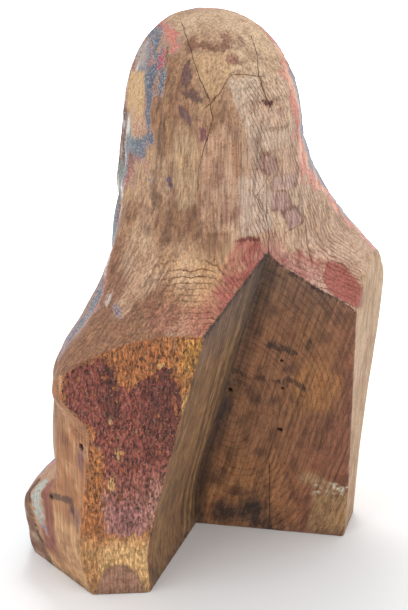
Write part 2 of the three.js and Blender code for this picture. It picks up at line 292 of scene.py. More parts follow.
def surface_net(form, low, high, cell):
    # Points and four-sided faces of the form's skin. The form is worked out only near the skin,
    # which a coarse grid finds first.
    block = 4
    low = np.array(low, float)
    blocks = np.ceil((np.array(high) - low) / (cell * block)).astype(int)
    axes = [low[k] + cell * block * np.arange(blocks[k] + 1) for k in range(3)]
    coarse = form(*np.meshgrid(*axes, indexing="ij"))
    near = np.abs(coarse) < cell * block * 1.9
    halves = list(product((slice(None, -1), slice(1, None)), repeat=3))

    def finer(array):
        for axis in range(3):
            array = np.repeat(array, block, axis)
        return np.pad(array, ((0, 1),) * 3, "edge")

    values = finer(np.sign(coarse[:-1, :-1, :-1]).astype(np.float32) * 99)
    wanted = finer(np.any([near[half] for half in halves], 0))
    for axis in range(3):
        wanted |= np.roll(wanted, 1, axis)
    where = np.argwhere(wanted)
    for part in np.array_split(where, max(1, len(where) // 400000)):
        values[tuple(part.T)] = form(*(low + part * cell).T)

    solid = values < 0
    total = sum(solid[half].astype(np.uint8) for half in halves)
    cells = np.argwhere((total > 0) & (total < 8))
    number = np.full(total.shape, -1, np.int32)
    number[tuple(cells.T)] = np.arange(len(cells))
    place = np.zeros((len(cells), 3))
    count = np.zeros(len(cells))
    for corner, step in product(product((0, 1), repeat=3), np.eye(3, dtype=int)):
        if not corner @ step:
            a, b = (values[tuple((cells + corner + way).T)] for way in (0, step))
            cross = (a < 0) != (b < 0)
            t = np.where(cross, a / np.where(cross, a - b, 1), 0)
            place += cross[:, None] * (corner + t[:, None] * step)
            count += cross
    points = low + cell * (cells + place / count[:, None])

    quads = []
    for step in np.eye(3, dtype=int):
        u, v = np.roll(step, 1), np.roll(step, 2)
        one, two = (
            solid[tuple(end if k else slice(1, -1) for k in step)]
            for end in (slice(None, -1), slice(1, None))
        )
        for start, turn in ((one & ~two, 1), (two & ~one, -1)):
            edge = np.argwhere(start) + 1 - step
            ring = (edge - u - v, edge - v, edge, edge - u)[::turn]
            quads.append(np.stack([number[tuple(cell.T)] for cell in ring], 1))
    return points, np.concatenate(quads)


def slope_of(points, form):
    step = 0.4
    value = form(*points.T)
    ahead = [form(*(points + step * np.eye(3)[k]).T) for k in range(3)]
    return value, np.stack([(v - value) / step for v in ahead], 1)


def settle(points, form, limit, rounds=2):
    # Moves points along the form's slope on to its skin
    for _ in range(rounds):
        value, slope = slope_of(points, form)
        move = value[:, None] * slope / np.maximum((slope**2).sum(1), 0.2)[:, None]
        points = points - np.clip(move, -limit, limit)
    return points


def point_normals(points, quads):
    a, b, c, d = (points[corner] for corner in quads.T)
    face = np.cross(c - a, d - b)
    sums = [sum(np.bincount(corner, v, len(points)) for corner in quads.T) for v in face.T]
    normal = np.stack(sums, 1)
    return normal / np.maximum(np.linalg.norm(normal, axis=1), 1e-9)[:, None]


def lattice(box, seed):
    # A fixed scatter of values from -1 to 1, one to each whole-numbered place
    n = (box[:, 0] * 1619 + box[:, 1] * 31337 + box[:, 2] * 6971 + seed * 1013) & 0x7FFFFFFF
    n = (n >> 13) ^ n
    n = (n * ((n * n * 15731 + 789221) & 0x7FFFFFFF) + 1376312589) & 0x7FFFFFFF
    return n / 1073741824.0 - 1


def noise(points, size, seed):
    # Smooth noise from -1 to 1, with bumps of the given size in millimetres
    p = points / np.array(size, float)
    base = np.floor(p).astype(np.int64)
    t = p - base
    t = t * t * (3 - 2 * t)
    total = 0
    for corner in product((0, 1), repeat=3):
        a, b, c = (t[:, k] if corner[k] else 1 - t[:, k] for k in range(3))
        total = total + a * b * c * lattice(base + corner, seed)
    return total


def seeds(points, size, seed):
    # Distance to the nearest of many scattered points, one to each box of the given size
    p = points / np.array(size, float)
    base = np.floor(p).astype(np.int64)
    nearest = np.full(len(p), 9.0)
    for step in product((-1, 0, 1), repeat=3):
        box = base + step
        spot = [box[:, axis] + 0.5 + 0.42 * lattice(box, seed + axis) for axis in range(3)]
        nearest = np.minimum(nearest, np.linalg.norm(p - np.stack(spot, 1), axis=1))
    return nearest


def off_line(points, a, b):
    # How far each point stands off the nearest place of the straight line from a to b
    t = np.clip((points - a) @ (b - a) / ((b - a) @ (b - a)), 0, 1)
    return points - a - t[:, None] * (b - a)


def stroke(points, *path):
    # Distance to a line through a few places
    path = np.array(path, float)
    nearest = np.full(len(points), 1e9)
    for a, b in zip(path[:-1], path[1:]):
        nearest = np.minimum(nearest, np.linalg.norm(off_line(points, a, b), axis=1))
    return nearest


def patch(points, centre, radii):
    # 1 inside a patch, a half on its rim and 0 well outside
    return ramp(1.3, 0.75, np.linalg.norm((points - centre) / np.array(radii, float), axis=1))


def inside(u, v, corners):
    # Millimetres inside a many-cornered outline, negative outside it
    nearest = np.full(len(u), 1e9)
    odd = np.zeros(len(u), bool)
    for (au, av), (bu, bv) in zip(corners, corners[1:] + corners[:1]):
        t = ((u - au) * (bu - au) + (v - av) * (bv - av)) / ((bu - au) ** 2 + (bv - av) ** 2)
        t = np.clip(t, 0, 1)
        nearest = np.minimum(nearest, np.hypot(u - au - t * (bu - au), v - av - t * (bv - av)))
        if av != bv:
            odd ^= ((av > v) != (bv > v)) & (u < au + (v - av) * (bu - au) / (bv - av))
    return np.where(odd, nearest, -nearest)


CUT_WIDTH, LONG_CUT, SHORT_CUT = 19, 62, 25
BACK_RADIUS = 110


def gouge_cuts(points):
    # The gouge's cuts stand in columns up the back, short ones on the right and long ones on the
    # left. Gives the place across and up a cut from 0 to 1, and one value from -1 to 1 for each cut.
    x, y, z = points.T
    round_back = np.arctan2(x, y + 30) * BACK_RADIUS
    column = round_back / CUT_WIDTH + 0.25 * noise(points, (45, 45, 60), 91)
    number = np.floor(column).astype(np.int64)
    nought = np.zeros_like(number)
    length = np.where(number > 0, LONG_CUT, SHORT_CUT)
    start = 3 * lattice(np.stack([number, nought, nought], 1), 92)
    rise = z / length + start + 3 * noise(points, (16, 16, 30), 93) / length
    row = np.floor(rise).astype(np.int64)
    return column - number, rise - row, lattice(np.stack([number, row, nought], 1), 94)


def beside_notch(points):
    # Millimetres past the low ridge that slants down to the notch's left edge, where the back was
    # pared thinner
    x, y, z = points.T
    past = -0.88 * (x - 36) - 0.476 * (z - 366)
    return np.maximum(past, 0) * ramp(366, 362, z) * ramp(-2, 3, x - 0.5 * (z - 340)) * (y > 60)


# Drying cracks, each a line of places and its width; the second list holds the side branches
cracks = (
    (((26, -7, 539), (38, 25, 527), (44, 43, 513), (45, 56, 500), (44, 63, 492), (45, 70, 476),
      (49, 70, 465), (54, 67, 444), (57, 65, 431), (58, 66, 415)), 0.55),
    (((-11, 51, 533), (-6, 64, 522), (0, 76, 509), (-1, 83, 496), (-3, 86, 487)), 0.7),
    (((-42, 84, 413), (-41, 88, 378), (-46, 89, 363), (-47, 90, 347), (-46, 96, 330)), 0.65),
    (((1, 92, 406), (1, 92, 380), (-2, 92, 355), (-2, 93, 343)), 0.5),
    (((-48, 35, 80), (-54, 29, 37), (-54, 27, 4)), 0.6),
)
branches = (
    (((26, 68, 509), (36, 68, 498), (46, 65, 487)), 0.75),
    (((18, 70, 511), (0, 76, 508)), 0.5),
    (((-39, 81, 456), (-40, 83, 435)), 0.45),
    (((0, 92, 418), (12, 90, 402), (6, 91, 390)), 0.4),
)
# Nail and worm holes: place and radius
holes = (
    ((169, 37, 171), 3.2), ((-47, 53, 130), 2.6), ((-3, 30, 177), 2.2), ((-39, 67, 184), 1.7),
    ((17, 17, 127), 1.9), ((173, -16, 93), 2.2), ((-30, 76, 218), 1.4),
)
HOLE_DEPTH = 5


def beyond_holes(points):
    # Millimetres outside the rim of the nearest hole, measured across the hole
    least = np.full(len(points), 9.0)
    for place, radius in holes:
        _, axis = slope_of(np.array([place], float), bust_form)
        axis = axis[0] / np.linalg.norm(axis[0])
        off = points - place
        along = off @ axis
        gap = np.linalg.norm(off - along[:, None] * axis, axis=1) - radius
        least = np.where(np.abs(along) < 12, np.minimum(least, gap), least)
    return least


# Thin brown lines on the face, the same on both sides: how far the middle is from the nose, half
# the length, the height, the bend and the width. Lids, brows, creases of the lids, lips, nostrils.
face_lines = (
    (28, 14, 441.5, 0.022, 1.7), (26, 18, 468, -0.014, 2.1), (28, 12, 453.5, -0.022, 0.8),
    (0, 16, 387, 0.01, 1.2), (8, 3, 403.5, 0.0, 1.8),
)


def beyond_face_lines(points):
    # Widths above the nearest line of the face, and 1 along it but 0 past its ends
    x, y, z = points.T
    ax = np.abs(x)
    widths = np.full(len(points), 99.0)
    along = np.zeros(len(points))
    for middle_x, half, height, bend, width in face_lines:
        gap = (z - height - bend * (ax - middle_x) ** 2) / width
        reach = ramp(half, half - 3, np.abs(ax - middle_x)) * (y < -40) * (ax < 47)
        closer = (np.abs(gap) < np.abs(widths)) & (reach > 0)
        widths, along = np.where(closer, gap, widths), np.where(closer, reach, along)
    return widths, along


def relief(points, normals):
    # What gouge, saw, glue and age leave on the block: heights in millimetres along the normal
    x, y, z = points.T
    rough, right_cut, left_cut, right_flank = (
        np.abs(cut(x, y, z)) < 1.6 for cut in (left_end, right_end, left_side, right_side)
    )
    walls = np.minimum(*[np.abs(wall) for wall in notch_walls(x, y, z)]) < 1.6
    underside = z < 1
    carved = ~(rough | right_cut | left_cut | right_flank | walls | underside)
    behind = ramp(-30, 12, y)
    gouged = carved * behind * ramp(540, 505, z)
    across, up, value = gouge_cuts(points)
    hollow = (2 * across - 1) ** 2 - 0.33 - (0.5 + 0.4 * value) * (up - 0.5) * 1.7
    height = gouged * (0.45 + 0.55 * ramp(300, 380, z)) * hollow
    height += 0.5 * gouged * (seeds(points, (15, 15, 24), 3) ** 2 - 0.35)
    height += 0.3 * carved * behind * noise(points, (2.6, 2.6, 30), 11)
    height -= carved * 0.1 * np.minimum(beside_notch(points), 22)
    round_face = np.hypot(x * 0.8, (z - 440) * 0.6)
    dents = seeds(points, (11, 11, 17), 5) ** 2 - 0.35
    height += carved * (1 - behind) * 0.5 * dents * ramp(92, 125, round_face)
    fibres = noise(points, (2.4, 2.4, 15), 21) + 0.8 * noise(points, (5, 5, 26), 22)
    pits = ramp(0.1, 0.55, noise(points, (3.4, 3.4, 6), 23))
    height += rough * (0.75 * fibres - 1.5 * pits * ramp(62, 110, z) - 0.4)
    height += (walls | right_cut | right_flank | left_cut) * 0.35 * noise(points, (9, 9, 40), 31)
    height += walls * 0.4 * noise(points, (4, 4, 9), 32)
    height += left_cut * 0.3 * noise(points, (14, 14, 2.4), 33)
    height -= ramp(10, 0, z) * ramp(-0.1, 0.8, noise(points, (14, 14, 9), 41)) * 1.8
    splinter = patch(points, (-98, 76, 54), (20, 20, 11))
    height -= walls * splinter * (1.2 + 1.6 * noise(points, (5, 5, 3), 51))
    for path, width in cracks + branches:
        height -= 0.7 * bell(stroke(points, *path), 0.9 + width)
    widths, reach = beyond_face_lines(points)
    height -= 0.8 * bell(widths, 1.6) * reach
    height -= HOLE_DEPTH * ramp(0.6, -1.4, beyond_holes(points))
    return np.where(underside, 0, height)


cell = 1.5
FACE_LIMIT, SHARP_ANGLE = 196000, 48
points, quads = surface_net(bust_form, (-200, -160, -6), (204, 160, 556), cell)
points = settle(points, bust_form, cell * 0.6)
normals = point_normals(points, quads)
points = points + normals * relief(points, normals)[:, None]
middle = np.array([*BOX_MIDDLE, 0])
points = np.clip((points - middle) / 1000, cad_box[0], cad_box[1])

mesh = bpy.data.meshes.new("bust")
mesh.from_pydata(points.tolist(), [], quads.tolist())
bust = bpy.data.objects.new("bust_carved_pine", mesh)
bpy.context.scene.collection.objects.link(bust)
keep = FACE_LIMIT / (2 * len(quads))
if keep < 1:
    fewer = bust.modifiers.new("fewer", "DECIMATE")
    fewer.ratio = keep
    graph = bpy.context.evaluated_depsgraph_get()
    bust.data = bpy.data.meshes.new_from_object(bust.evaluated_get(graph))
    bust.modifiers.clear()
    bpy.data.meshes.remove(mesh)
mesh = bust.data
count = len(mesh.vertices)
kept = np.empty(count * 3)
mesh.vertices.foreach_get("co", kept)
kept = np.clip(kept.reshape(-1, 3), cad_box[0], cad_box[1])
mesh.vertices.foreach_set("co", kept.ravel())
mesh.update()
mesh.shade_smooth()
mesh.set_sharp_from_angle(angle=math.radians(SHARP_ANGLE))


def colour(code):
    # sRGB hex to linear
    parts = [int(code[i : i + 2], 16) / 255 for i in (1, 3, 5)]
    return [v / 12.92 if v < 0.04045 else ((v + 0.055) / 1.055) ** 2.4 for v in parts]


# Where each colour lies. `ground` is the wood's own colour with its stains and with painted light
# and shade, and its alpha how plainly the growth rings show; the paint layer is what is left of the
# paint, with one painted highlight, and its alpha the cover.
at = kept * 1000 + middle
facing = np.empty(count * 3)
mesh.vertex_normals.foreach_get("vector", facing)
facing = facing.reshape(-1, 3)
x, y, z = at.T
wobble = np.stack([noise(at, (14, 14, 22), 61 + k) for k in range(3)], 1)
ragged = np.stack([noise(at, (5, 5, 7), 64 + k) for k in range(3)], 1)
moved = at + wobble * 5 + ragged * 2
blotch = 0.5 + 0.5 * noise(at, (26, 26, 60), 71)
streak = 0.5 + 0.5 * noise(at, (5, 5, 50), 72)
spots = 0.5 + 0.5 * noise(at, (9, 9, 14), 73)

ground = np.ones((count, 4))
paint_and_highlight = np.zeros((count, 4))


def tint(mask, code, rings=None):
    mask = (np.clip(mask, 0, 1) * np.ones(count))[:, None]
    ground[:, :3] = ground[:, :3] * (1 - mask) + np.array(colour(code)) * mask
    if rings is not None:
        ground[:, 3:] = ground[:, 3:] * (1 - mask) + rings * mask


def lay(mask, code):
    mask = np.clip(mask, 0, 1)
    share = np.clip(mask * 2, 0, 1)[:, None]
    paint_and_highlight[:, :3] = paint_and_highlight[:, :3] * (1 - share) + np.array(colour(code)) * share
    paint_and_highlight[:, 3] = np.maximum(paint_and_highlight[:, 3], mask)


left_wall, right_wall = notch_walls(x, y, z)
on_left_end = ramp(2.6, 1.6, np.abs(left_end(x, y, z)))
on_right_end = ramp(2.6, 1.6, np.abs(right_end(x, y, z)))
on_left_side = ramp(2.6, 1.4, np.abs(left_side(x, y, z))) * (facing[:, 0] > 0.6)
on_right_side = ramp(2.6, 1.4, np.abs(right_side(x, y, z))) * (facing[:, 0] < -0.6)
in_notch = (np.minimum(left_wall, right_wall) > -2.2) & (z < 345) & (y > -34)
on_right_wall = in_notch * (right_wall < left_wall)
on_left_wall = in_notch * (left_wall <= right_wall)

# Bare wood, with painted light and shade: the dome, the head's right and the right shoulder are
# painted paler as if lit from above on the right, and the head's left and its left edge are painted
# darker as if in shade.
left_head = ramp(14, 48, x) * ramp(335, 375, z)
right_head = ramp(12, -16, x) * ramp(345, 385, z)
shoulder = ramp(368, 340, z)
tint(1, "#BC9B80", 0.6)
tint(left_head, "#926C50", 0.25)
tint(right_head, "#C6AA92", 0.5)
tint(ramp(488, 524, z) * ramp(56, 18, x), "#BFA385", 0.15)
# Shoulders: a tan tone, painted shade at the left edge and painted light on the right
tint(shoulder * ramp(-6, 24, x), "#BD956D", 1.0)
tint(shoulder * ramp(76, 104, x), "#8A6148", 0.3)
tint(shoulder * ramp(-6, -34, x), "#C8A890", 0.95)
tint(0.5 * ramp(0.5, 0.85, blotch), "#906B4D")
tint(0.45 * ramp(0.5, 0.2, blotch), "#CEAF90")
tint(0.6 * left_head * ramp(0.5, 0.85, streak), "#65452F")
tint(0.4 * left_head * ramp(0.5, 0.15, streak), "#AC865E")
for path, width, code, strength in (
    (((66, 40, 490), (72, 44, 450), (70, 44, 410), (74, 46, 378)), 4, "#6E4A34", 0.5),
    (((84, 24, 470), (86, 24, 430), (84, 26, 396)), 4, "#6A4733", 0.5),
    (((62, 50, 440), (64, 52, 400), (66, 54, 372)), 5, "#BE9560", 0.6),
    (((30, 82, 452), (36, 84, 420), (34, 86, 384)), 4, "#B47F62", 0.45),
    (((20, 86, 440), (18, 90, 400), (22, 91, 374)), 3, "#8F6650", 0.45),
    (((-10, 84, 470), (-4, 90, 430), (-6, 92, 396)), 2.5, "#9E7A66", 0.4),
):
    tint(ramp(1.5, 0.5, stroke(moved, *path) / width) * strength, code)
tint(0.4 * ramp(0.55, 0.9, spots) * ramp(280, 340, z), "#8A6350")

# The broad cuts of the last gouge on the head, each with its own tone: outlines in millimetres
# round the head from the middle of the back and above the table
round_head = np.degrees(np.arctan2(x, y)) * 1.4
behind_head = (y > -60) * ramp(352, 358, z)
bend = 1.5 * ragged[:, 0]
facet_edge = np.full(count, 9.0)
# Each cut: its outline, tone and strength, and whether painted shade darkens its outline as under a
# ledge
for corners, code, strength, edge_shaded in (
    (((78, 524), (20, 528), (26, 511), (46, 491), (53, 497), (64, 511)), "#B8966F", 0.65, False),
    (((31, 508), (1, 509), (3, 489), (-1, 462), (-3, 434), (12, 432), (20, 466), (30, 496)),
     "#C2AE9B", 0.6, False),
    (((13, 489), (-21, 485), (-20, 462), (4, 465), (11, 473)), "#C4A48B", 0.75, True),
    (((-20, 460), (-28, 440), (6, 443), (8, 462)), "#C8AE98", 0.7, True),
    (((6, 443), (-28, 440), (-33, 415), (-7, 418), (4, 426)), "#B8957D", 0.75, True),
    (((-7, 418), (-33, 415), (-29, 399), (-2, 404)), "#B4938A", 0.7, True),
    (((-2, 401), (-18, 401), (-25, 384), (-17, 380), (-4, 385)), "#977072", 0.65, True),
    (((-14, 381), (-29, 382), (-35, 365), (-21, 361)), "#9A7478", 0.65, True),
    (((9, 436), (2, 441), (-7, 434), (-10, 422), (0, 420), (8, 426)), "#9A7470", 0.6, True),
    (((26, 422), (6, 425), (-4, 395), (-4, 365), (24, 367)), "#C0AA9A", 0.6, False),
    (((83, 465), (66, 468), (58, 447), (58, 397), (72, 389), (81, 416)), "#AF9070", 0.65, False),
    (((56, 456), (33, 475), (28, 430), (26, 371), (56, 373)), "#BF9A80", 0.5, False),
    (((40, 440), (30, 432), (26, 400), (38, 392), (46, 410)), "#B4947C", 0.5, False),
    (((20, 460), (10, 456), (4, 430), (12, 424), (22, 436)), "#AE9280", 0.4, False),
):
    gap = inside(round_head + bend, z, corners)
    tint(behind_head * ramp(-1, 1.5, gap) * strength, code)
    if edge_shaded:
        facet_edge = np.minimum(facet_edge, np.abs(gap) + 9 * (1 - behind_head))

# A thin red wash that ran over the back above the notch, thick in two places
pared = beside_notch(at)
uneven = 0.5 + 0.5 * spots + 0.6 * ragged[:, 1]
to_edge = stroke(moved, (2, 94, 340), (34, 98, 322), (69, 109, 301), (84, 112, 290))
to_right_edge = stroke(moved, (-4, 94, 338), (-58, 122, 303))
for mask, *tone in (
    (0.85 * ramp(0, 12, pared) * uneven, "#A0564A", 0.8),
    (0.75 * ramp(6, 22, pared + 4 * wobble[:, 1]) * ramp(308, 324, z) * uneven, "#8E3836", 0.6),
    (0.5 * patch(moved, (52, 98, 318), (10, 12, 12)) * uneven, "#97453F", 0.7),
    (0.7 * patch(moved, (-30, 103, 327), (36, 16, 14)) * uneven, "#9A4640", 0.35),
    (0.4 * patch(moved, (115, 74, 311), (6, 10, 10)) * uneven, "#9A4640", 0.35),
    (0.8 * ramp(18, 3, to_edge) * (1 - in_notch) * uneven, "#914440"),
    (0.5 * ramp(32, 8, to_edge) * (1 - in_notch), "#AE6F5E"),
    (0.4 * patch(moved, (102, 92, 304), (30, 22, 10)), "#A8705E"),
    (0.4 * ramp(20, 6, to_right_edge) * (1 - in_notch), "#B5847C"),
):
    tint(mask, *tone)

# Sawn faces, each with its own list of stains; on the notch's two walls the list also holds painted
# shade, darker towards the inner corner. On the rough end orange glue and fibre show at the top and
# right, a deep maroon in the middle and a pale foot; `along` runs level across it, from the outer
# side to the notch.
skin_gap = -carving(x, y, z)
flaky = ramp(0.0, 0.5, noise(at, (5, 5, 3), 51)) * patch(at, (-98, 76, 54), (22, 22, 10))
bare_foot = ((-84, 50), (-100, 62), (-122, 50), (-126, 0), (-80, 0))
along = -0.866 * (x - 108.5) + 0.5 * (y - 57)
waver = 5 * wobble[:, 0] + 4 * ragged[:, 0] + 3 * noise(at, (3, 3, 12), 75)
foot = np.hypot((along + 29) / 22, z / 36)
for face, stains_and_shade in (
    (on_left_side, (
        (1, "#AD7850", 0.15), (ramp(95, 70, z), "#C69C6E", 0.1), (0.5 * blotch, "#9C6F50"),
        (0.5 * ramp(0.55, 0.8, spots), "#875A40"), (0.4 * ramp(0.45, 0.2, spots), "#D2A67C"),
        (0.75 * patch(moved, (169, 37, 158), (5, 5, 14)), "#7C5662"),
        (0.5 * patch(moved, (169, 44, 215), (5, 18, 18)), "#A06A5C"),
        (0.6 * patch(moved, (170, 24, 88), (5, 8, 12)), "#7E5E5A"),
    )),
    (on_right_side, ((1, "#BE9A72", 0.3),)),
    (on_right_end, (
        (1, "#C2A484", 0.35), (0.7 * ramp(0.5, 0.8, spots), "#9A7454"),
        (0.6 * ramp(0.5, 0.8, streak), "#9F7B52"), (0.4 * ramp(210, 40, z), "#A07A58"),
        (0.6 * ramp(4, 1, -right_wall), "#8A6244"),
    )),
    (on_left_wall, (
        (1 - on_left_end, "#8E6844", 0.5), (0.5 * blotch, "#6A4C33"),
        (0.6 * ramp(0.55, 0.8, spots), "#584030"), (0.5 * ramp(0.5, 0.85, streak), "#A27E4E"),
        # Painted shade: darker towards the notch's inner corner
        (0.6 * ramp(16, 2, right_wall), "#4A3424"),
        *[(0.8 * bell(right_wall + 3 * wobble[:, 0] - line, 1.7), code) for line, code in (
            (12, "#43301F"), (19, "#A98A58"), (27, "#4C3826"), (34, "#A4835A"), (43, "#4A3828"),
        )],
        (0.5 * ramp(230, 290, z), "#6A5A54"),
        (0.6 * ramp(9, 2, skin_gap + 3 * ragged[:, 1]) * (1 - on_left_end), "#4A3D3A"),
    )),
    (on_right_wall, (
        (1, "#8E6142", 0.55), (ramp(120, 60, z), "#A27048"),
        (0.65 * patch(moved, (4, 66, 316), (26, 34, 30)), "#4A372C"),
        (0.6 * ramp(0.4, 0.9, blotch), "#94673F"), (0.7 * ramp(0.5, 0.15, spots), "#573927"),
        (0.5 * ramp(-40, -95, x), "#80493C"), (0.5 * ramp(250, 320, z), "#6A5446"),
        (0.7 * patch(moved, (-62, 90, 190), (24, 24, 34)), "#A87444"),
        (0.7 * ramp(12, 3, stroke(moved, (-82, 62, 68), (-98, 72, 50))), "#A98A66"),
        (inside(x, z, bare_foot) / 4, "#9C7852"),
        # Painted shade: darker towards the notch's inner corner, more so low down
        (ramp(17, 4, left_wall + 4 * wobble[:, 1]) * (0.5 + 0.3 * ramp(190, 150, z)), "#33241C"),
        *[(0.6 * patch(moved, centre, radii), "#3A2C26") for centre, radii in (
            ((-20, 4, 17), (18, 18, 14)), ((-44, 18, 22), (19, 19, 15)), ((-3, 24, 120), (7, 8, 50)),
        )],
        (flaky, "#D3C6AE"),
    )),
    (on_left_end, (
        (1, "#AE6E3E", 0.1), (ramp(27, 36, along + waver) * ramp(150, 190, z), "#B8833F"),
        (0.5 * ramp(0.4, 0.85, blotch), "#8C5230"), (ramp(80, 50, z + waver), "#D0A670", 0.15),
        (0.7 * ramp(-40, -50, along + 0.5 * waver) * ramp(80, 40, z), "#9C683A"),
        (0.7 * ramp(1.5, 9, along) * ramp(150, 130, z) * ramp(60, 90, z), "#B58C78"),
        (ramp(1.04, 0.96, foot), "#9E7660", 0.3), (0.7 * bell(foot - 1, 0.04), "#6E4A34"),
    )),
):
    for mask, *tone in stains_and_shade:
        tint(face * mask, *tone)
maroon = inside(
    along + 0.5 * waver, z + waver,
    ((-84, 262), (-80, 236), (-68, 214), (-53, 197), (-49, 174), (-40, 168), (-41, 151), (-46, 110),
     (-42, 80), (-24, 68), (-9, 70), (6, 83), (16, 115), (22, 153), (30, 171), (28, 232),
     (24, 266), (11, 262), (-3, 248), (-19, 239), (-28, 243), (-30, 265), (-41, 273), (-60, 268)),
)
chips = np.full(count, 9.0)
for centre, radii in (
    ((145, 63, 167), (3, 3, 9)), ((147, 58, 131), (4, 4, 12)), ((117, 96, 264), (3, 3, 2)),
    ((167, 56, 237), (3, 3, 4)), ((94, 98, 225), (2.5, 2.5, 15)), ((152, 60, 205), (2, 2, 5)),
    ((112, 90, 236), (2.5, 2.5, 5)),
):
    tint(on_left_end * patch(at, centre, np.array(radii) * 1.3), "#CDA266")
    chips = np.minimum(chips, 4 * (np.linalg.norm((moved - centre) / np.array(radii), axis=1) - 1))

# Darker towards the foot, over the lowest 16 mm
tint(0.45 * ramp(16, 1, z + 4 * ragged[:, 2]), "#6B5140")

# Stains with crisp edges, and painted shade in the notch. This layer holds the colour and, in its
# alpha, the millimetres inside each mark's edge.
stain_and_shade = np.column_stack([ground[:, :3], np.full(count, -9.0)])


def crisp_tint(reach, code, strength, face=True):
    reach = np.where(face, reach, -9)
    wins = reach > stain_and_shade[:, 3]
    mixed = ground[:, :3] * (1 - strength) + np.array(colour(code)) * strength
    stain_and_shade[wins, :3] = mixed[wins]
    stain_and_shade[wins, 3] = np.minimum(reach, 9)[wins]


for path, half, code, strength in (
    (((173, -16, 94), (172, -1, 99), (171, 18, 104), (171, 20, 92)), 3.6, "#573D35", 0.85),
    (((172, 12, 62), (172, 18, 30)), 2, "#7A5548", 0.5),
    (((171, -8, 220), (171, 6, 214)), 2.5, "#7A4E40", 0.6),
    (((171, -14, 130), (171, -4, 124)), 2.5, "#8A4A3C", 0.6),
):
    crisp_tint(half - stroke(at, *path), code, strength, on_left_side > 0.2)
crisp_tint(on_left_end * 30 - 30 + np.minimum(maroon, chips), "#80423A", 0.92)
deep = np.maximum(
    0.6 * ramp(150, 200, z) * ramp(-14, 4, along),
    0.75 * ramp(-46, -38, along) * ramp(-22, -30, along) * ramp(190, 215, z),
)
stain_and_shade[:, :3] *= 1 - (0.6 * deep * (maroon > -9))[:, None]
for share, code in (
    (0.6 * patch(moved, (132, 58, 92), (18, 18, 20)), "#84505A"),
    (0.7 * ramp(9, 0, np.abs(maroon)) * ramp(150, 110, z), "#A87A68"),
    (ramp(160, 105, z + waver) * (0.3 + 0.4 * ramp(-14, 8, along)), "#BC8C7C"),
):
    stain_and_shade[:, :3] += (on_left_end * share)[:, None] * (np.array(colour(code)) - stain_and_shade[:, :3])
lens = (
    (-52, 318), (-65, 324), (-80, 318), (-87, 306), (-93, 290), (-90, 277), (-68, 289), (-56, 298),
    (-50, 308),
)
crisp_tint(inside(x, z, lens) + 2 * ragged[:, 1], "#97423B", 0.8, ~in_notch & (y >= 60))
# A dark line just under the right wall's top edge: partly a stain, partly painted shade under the
# edge
crisp_tint(0.6 - 1.3 * skin_gap + 1.5 * ragged[:, 0], "#35201C", 0.85, on_right_wall)
for centre, radii in (
    ((-28, 78, 236), (10, 10, 6)), ((-37, 83, 232), (4, 4, 4)), ((-22, 4, 17), (9, 9, 7)),
    ((-40, 18, 24), (10, 10, 7)), ((-44, 20, 12), (7, 7, 5)), ((-54, 27, 5), (6, 6, 5)),
):
    crisp_tint(4 * (patch(moved, centre, radii) - 0.5), "#241C19", 0.7, on_right_wall)
for path in (
    ((-1, 38, 203), (-14, 50, 194), (-22, 56, 197)), ((-20, 56, 190), (-36, 70, 194), (-40, 72, 188)),
    ((-4, 36, 190), (-12, 46, 184), (-26, 60, 186)), ((-38, 74, 198), (-53, 82, 187)),
    ((-10, 42, 176), (-28, 58, 170)), ((-14, 48, 160), (-24, 58, 150), (-22, 56, 142)),
    ((-30, 64, 112), (-42, 70, 104)), ((-6, 36, 144), (-16, 46, 136)),
):
    crisp_tint(2.8 - stroke(at, *path) + 1.5 * ragged[:, 2], "#3A241A", 0.75, on_right_wall)
rim_gap = np.minimum(skin_gap, -left_end(x, y, z) * 0.8)
wall_rim = on_left_wall * (1 - on_left_end) > 0.5
crisp_tint(0.4 - rim_gap + ragged[:, 0], "#3A2A22", 0.75, wall_rim)
